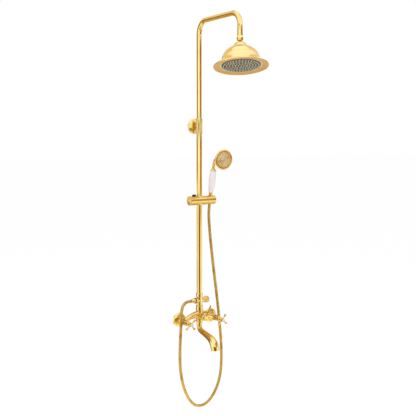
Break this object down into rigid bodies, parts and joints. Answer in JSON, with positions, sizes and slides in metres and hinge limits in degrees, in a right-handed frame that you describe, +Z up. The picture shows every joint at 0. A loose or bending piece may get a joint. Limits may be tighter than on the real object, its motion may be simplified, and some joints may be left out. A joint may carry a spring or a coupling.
{
  "type": "rainfall shower column",
  "caption": "Wall-mounted gold bath and shower column with a bell-shaped overhead shower, handset on a height slider, looped hose, cross-handle mixer and curved spout.",
  "frame": {"origin": "midpoint between the mixer's two inlet axes, on the wall plane", "axes": "+X right along the wall, +Y into the wall, +Z up along the riser"},
  "size_m": [0.2278, 0.4659, 1.5951],
  "materials": {
    "gold": "polished gold plate on brass",
    "gold_satin": "satin gold plate",
    "hose_gold": "gold interlocked metal strip over a rubber tube",
    "brass": "turned brass",
    "union_brass": "gold plate with a dark unplated thread",
    "pale_trim": "pale plated ring",
    "steel": "brushed steel",
    "rubber_grey": "soft grey silicone",
    "rubber_black": "black rubber",
    "nylon": "natural nylon",
    "black_plastic": "moulded black plastic",
    "dark_trim": "moulded insert",
    "ceramic": "white glazed ceramic"
  },
  "bodies": {
    "root": {"bracket_wall_plate": "steel", "bracket_flange": "gold", "bracket_arm": "gold", "bracket_sleeve": "gold", "sleeve_grub_screws": "steel", "riser_pipe": "gold", "diverter_body": "gold", "diverter_top_nut": "gold", "diverter_bottom_nut": "gold", "outlet_seal_ring": "rubber_black", "hose_outlet_nut": "gold", "shower_hose": "hose_gold", "mixer_body": "gold", "union_nuts": "gold", "wall_unions": "union_brass", "escutcheons": "gold", "valve_bonnets": "gold", "tub_cap": "gold", "spout_nut": "gold"},
    "telescope": {"telescope_guide": "brass", "telescope_o_rings": "rubber_black"},
    "overhead_arm": {"gooseneck_pipe": "gold", "arm_end_nipple": "gold", "swivel_nut": "gold"},
    "seat_cup": {"ball_seat_cup": "nylon"},
    "ball": {"ball_connector": "gold"},
    "overhead_shower": {"head_shell": "gold", "head_lock_nut": "gold", "head_under_ring": "gold_satin", "head_retaining_ring": "pale_trim", "head_nozzle_plate": "steel", "head_nozzles": "rubber_grey"},
    "slider_liner": {"slider_bush": "nylon"},
    "slider": {"slider_body": "gold", "slider_end_cap": "gold", "holder_pivot_bolt": "gold", "brake_spring": "steel"},
    "brake": {"brake_shoe": "nylon"},
    "button": {"release_button": "black_plastic"},
    "holder": {"handset_holder": "gold"},
    "hose_end": {"hose_cone_nut": "gold"},
    "handset": {"handset_tie_tube": "gold", "handset_ceramic_grip": "ceramic", "handset_collar": "gold", "handset_neck": "gold", "handset_head_shell": "gold", "handset_face_plate": "gold", "handset_nozzles": "rubber_grey"},
    "diverter_valve": {"diverter_cartridge": "brass", "diverter_knob": "gold"},
    "hot_valve": {"valve_spindle_left": "brass", "cross_handle_left": "gold", "ceramic_button_left": "ceramic"},
    "cold_valve": {"valve_spindle_right": "brass", "cross_handle_right": "gold", "ceramic_button_right": "ceramic"},
    "bath_lever": {"tub_spool": "brass", "tub_lever": "gold"},
    "spout": {"bath_spout": "gold", "spout_aerator": "dark_trim"}
  },
  "joints": [
    {"name": "telescope_slide", "type": "slide", "parent": "root", "child": "telescope", "axis": [0, 0, 1], "range_m": [-0.2, 0.1]},
    {"name": "arm_swivel", "type": "hinge", "parent": "telescope", "child": "overhead_arm", "pos_m": [0, -0.04, 1], "axis": [0, 0, 1], "range_deg": [-70, 70]},
    {"name": "head_tilt_front", "type": "hinge", "parent": "overhead_arm", "child": "seat_cup", "pos_m": [0, -0.33, 1.112], "axis": [1, 0, 0], "range_deg": [-4, 26]},
    {"name": "head_tilt_side", "type": "hinge", "parent": "seat_cup", "child": "ball", "pos_m": [0, -0.33, 1.112], "axis": [0, 1, 0], "range_deg": [-14, 3]},
    {"name": "head_spin", "type": "hinge", "parent": "ball", "child": "overhead_shower", "pos_m": [0, -0.33, 1.112], "axis": [-0.0903, -0.2122, -0.9731], "continuous": true},
    {"name": "slider_height", "type": "slide", "parent": "root", "child": "slider_liner", "axis": [0, 0, 1], "range_m": [-0.3, 0.22], "deforming": ["shower_hose"]},
    {"name": "slider_swivel", "type": "hinge", "parent": "slider_liner", "child": "slider", "pos_m": [0, -0.04, 0.497], "axis": [0, 0, 1], "range_deg": [-25, 15]},
    {"name": "button_press", "type": "slide", "parent": "slider", "child": "button", "axis": [0, 0, -1], "range_m": [0, 0.003], "stiffness_N_per_m": 600, "springref_m": -0.001},
    {"name": "brake_release", "type": "slide", "parent": "slider", "child": "brake", "axis": [-1, 0, 0], "range_m": [0, 0.0015], "deforming": ["brake_spring"]},
    {"name": "holder_tilt", "type": "hinge", "parent": "slider", "child": "holder", "pos_m": [0, -0.04, 0.497], "axis": [1, 0, 0], "range_deg": [-12, 35]},
    {"name": "handset_lift", "type": "slide", "parent": "holder", "child": "hose_end", "axis": [0, -0.213, 0.977], "range_m": [0, 0.06]},
    {"name": "handset_turn", "type": "hinge", "parent": "hose_end", "child": "handset", "pos_m": [0.051, -0.04, 0.497], "axis": [0, -0.213, 0.977], "range_deg": [-40, 90]},
    {"name": "shower_diverter_turn", "type": "hinge", "parent": "root", "child": "diverter_valve", "pos_m": [0, -0.04, 0.082], "axis": [1, 0, 0], "range_deg": [0, 90]},
    {"name": "hot_valve_turn", "type": "hinge", "parent": "root", "child": "hot_valve", "pos_m": [-0.075, -0.097, 0], "axis": [0, -1, 0], "range_deg": [0, 90]},
    {"name": "cold_valve_turn", "type": "hinge", "parent": "root", "child": "cold_valve", "pos_m": [0.075, -0.097, 0], "axis": [0, -1, 0], "range_deg": [-90, 0]},
    {"name": "bath_lever_turn", "type": "hinge", "parent": "root", "child": "bath_lever", "pos_m": [0, -0.08, 0.016], "axis": [0, -1, 0], "range_deg": [0, 54]},
    {"name": "spout_swivel", "type": "hinge", "parent": "root", "child": "spout", "pos_m": [0, -0.04, -0.02], "axis": [0, 0, 1], "range_deg": [-45, 45]}
  ],
  "couplings": [
    {"joint": "brake_release", "follows": "button_press", "ratio": 0.5}
  ]
}
